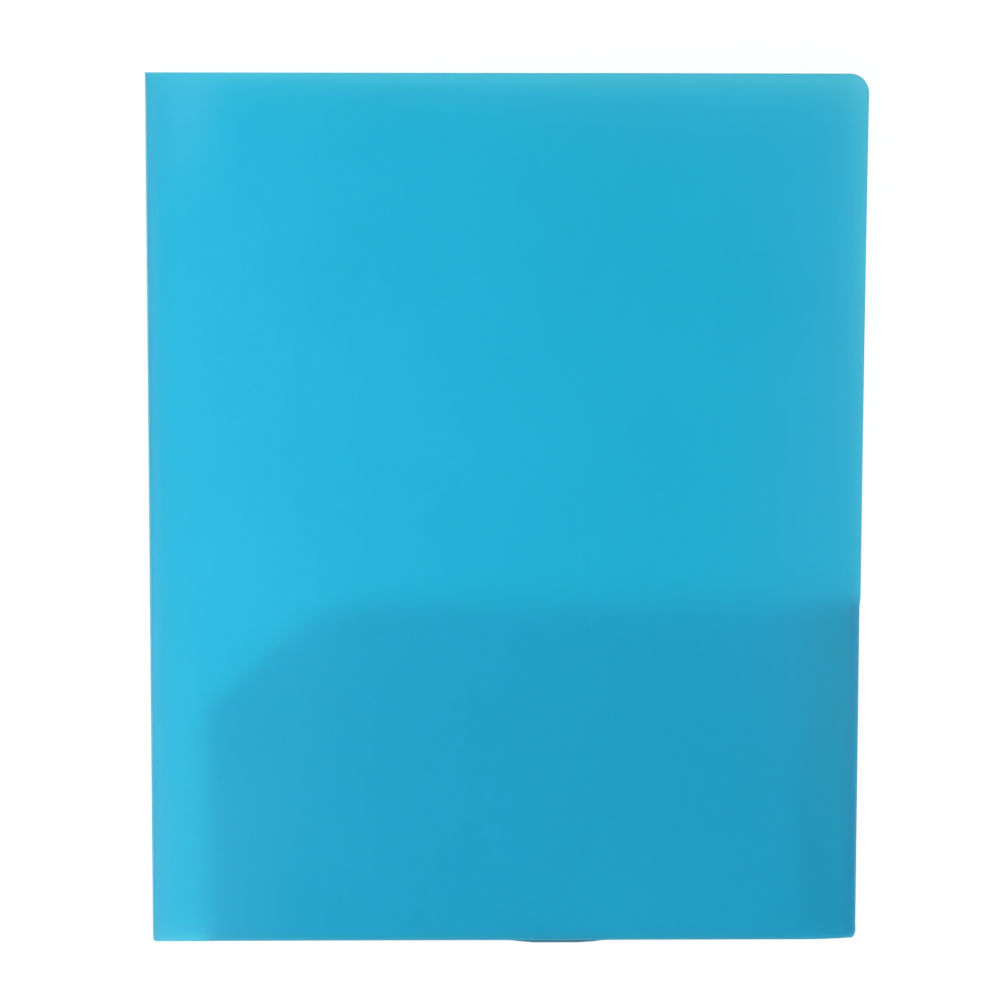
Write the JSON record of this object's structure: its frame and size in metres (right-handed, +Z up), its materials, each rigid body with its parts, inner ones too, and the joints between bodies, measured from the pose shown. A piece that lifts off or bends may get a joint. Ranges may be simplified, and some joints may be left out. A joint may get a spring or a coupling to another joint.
{
  "type": "two pocket folder",
  "caption": "Letter size folder of translucent blue plastic sheet: covers hinged on a creased spine, a pocket with a slanted inner corner on each leaf.",
  "frame": {"origin": "under the middle of the closed folder, on the surface that it lies on", "axes": "+Z up through the thickness, +Y to the top edge, +X from the spine to the open side"},
  "size_m": [0.241, 0.295, 0.008],
  "materials": {
    "cover_sheet": "matte",
    "pocket_sheet": "matte",
    "rolled_fold": "satin",
    "weld": "satin"
  },
  "bodies": {
    "back_leaf": {"back_cover": "cover_sheet", "back_bottom_fold": "rolled_fold", "back_side_fold": "rolled_fold", "back_side_tab": "pocket_sheet", "back_weld_spots": "weld"},
    "back_pocket_flap": {"back_pocket": "pocket_sheet"},
    "spine": {"spine_strip": "cover_sheet", "back_crease": "rolled_fold", "front_crease": "rolled_fold"},
    "front_leaf": {"front_cover": "cover_sheet", "front_bottom_fold": "rolled_fold", "front_side_fold": "rolled_fold", "front_side_tab": "pocket_sheet", "front_weld_spots": "weld"},
    "front_pocket_flap": {"front_pocket": "pocket_sheet"}
  },
  "joints": [
    {"name": "back_crease_hinge", "type": "hinge", "parent": "back_leaf", "child": "spine", "pos_m": [-0.1203, 0, 0.0002], "axis": [0, -1, 0], "range_deg": [0, 90]},
    {"name": "front_crease_hinge", "type": "hinge", "parent": "spine", "child": "front_leaf", "pos_m": [-0.1203, 0, 0.003], "axis": [0, -1, 0], "range_deg": [0, 87]},
    {"name": "back_pocket_gape", "type": "hinge", "parent": "back_leaf", "child": "back_pocket_flap", "pos_m": [0, -0.14665, 0.00075], "axis": [1, 0, 0], "range_deg": [0, 6]},
    {"name": "front_pocket_gape", "type": "hinge", "parent": "front_leaf", "child": "front_pocket_flap", "pos_m": [0, -0.14665, 0.00245], "axis": [-1, 0, 0], "range_deg": [0, 6]}
  ],
  "couplings": [
    {"joint": "back_pocket_gape", "follows": "back_crease_hinge", "ratio": 0.0666},
    {"joint": "front_pocket_gape", "follows": "front_crease_hinge", "ratio": 0.0666}
  ]
}
